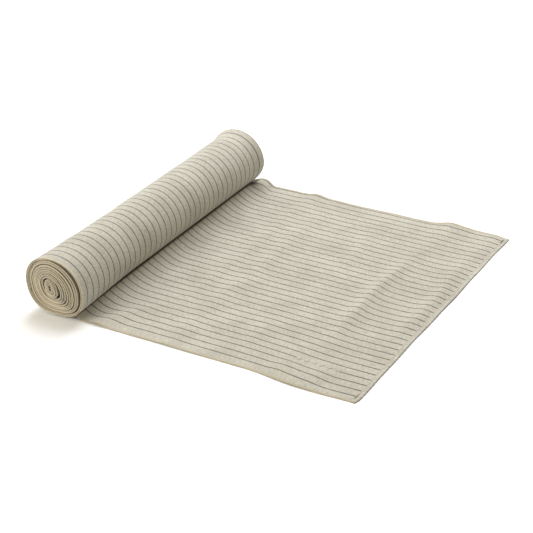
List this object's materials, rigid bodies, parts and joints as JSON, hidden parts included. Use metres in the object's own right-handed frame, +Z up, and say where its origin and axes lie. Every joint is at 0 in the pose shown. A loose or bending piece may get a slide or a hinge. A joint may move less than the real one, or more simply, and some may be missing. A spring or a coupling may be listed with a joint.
{
  "type": "baby wrap sling",
  "caption": "Long striped stretch-cloth wrap for carrying a baby, wound into a roll with its hemmed free end laid out flat.",
  "frame": {"origin": "centre of the object's footprint, on the surface it lies on", "axes": "+X from the roll to the free end, +Y across the cloth, +Z up"},
  "size_m": [0.5698, 0.556, 0.1012],
  "materials": {
    "cloth": "matte jersey knit, warm grey, with thin dark grey lengthwise stripes",
    "edge_thread": "tan overlock thread",
    "sewing_thread": "matte sewing thread close to the cloth's colour",
    "embroidery": "satin stitch, slightly shiny, close to the cloth's colour",
    "label": "blank off-white woven label"
  },
  "bodies": {
    "spread": {"taken_up_cloth": "cloth", "near_edge_thread_taken_up": "edge_thread", "far_edge_thread_taken_up": "edge_thread", "laid_cloth": "cloth", "near_edge_thread_laid": "edge_thread", "far_edge_thread_laid": "edge_thread", "embroidered_motif": "embroidery"},
    "lead": {"rising_cloth": "cloth", "near_edge_thread_rising": "edge_thread", "far_edge_thread_rising": "edge_thread"},
    "roll": {"rolled_cloth": "cloth", "near_edge_thread_rolled": "edge_thread", "far_edge_thread_rolled": "edge_thread", "inner_end_hem": "cloth", "inner_hem_stitching": "sewing_thread", "care_label": "label", "care_label_stitching": "sewing_thread"},
    "free_end": {"free_end_cloth": "cloth", "near_edge_thread_free_end": "edge_thread", "far_edge_thread_free_end": "edge_thread", "free_end_hem": "cloth", "free_end_hem_stitching": "sewing_thread", "hem_corner_tacks": "sewing_thread"}
  },
  "joints": [
    {"name": "roll_travel", "type": "slide", "parent": "spread", "child": "lead", "axis": [1, 0, 0], "range_m": [0, 0.3173]},
    {"name": "roll_spin", "type": "hinge", "parent": "lead", "child": "roll", "pos_m": [-0.23513, 0, 0.05185], "axis": [0, 1, 0], "range_deg": [0, 360]},
    {"name": "free_end_fold", "type": "hinge", "parent": "spread", "child": "free_end", "pos_m": [0.24687, 0, 0.0014], "axis": [0, -1, 0], "range_deg": [0, 160]}
  ],
  "couplings": [
    {"joint": "roll_spin", "follows": "roll_travel", "rad_per_m": 19.802}
  ]
}
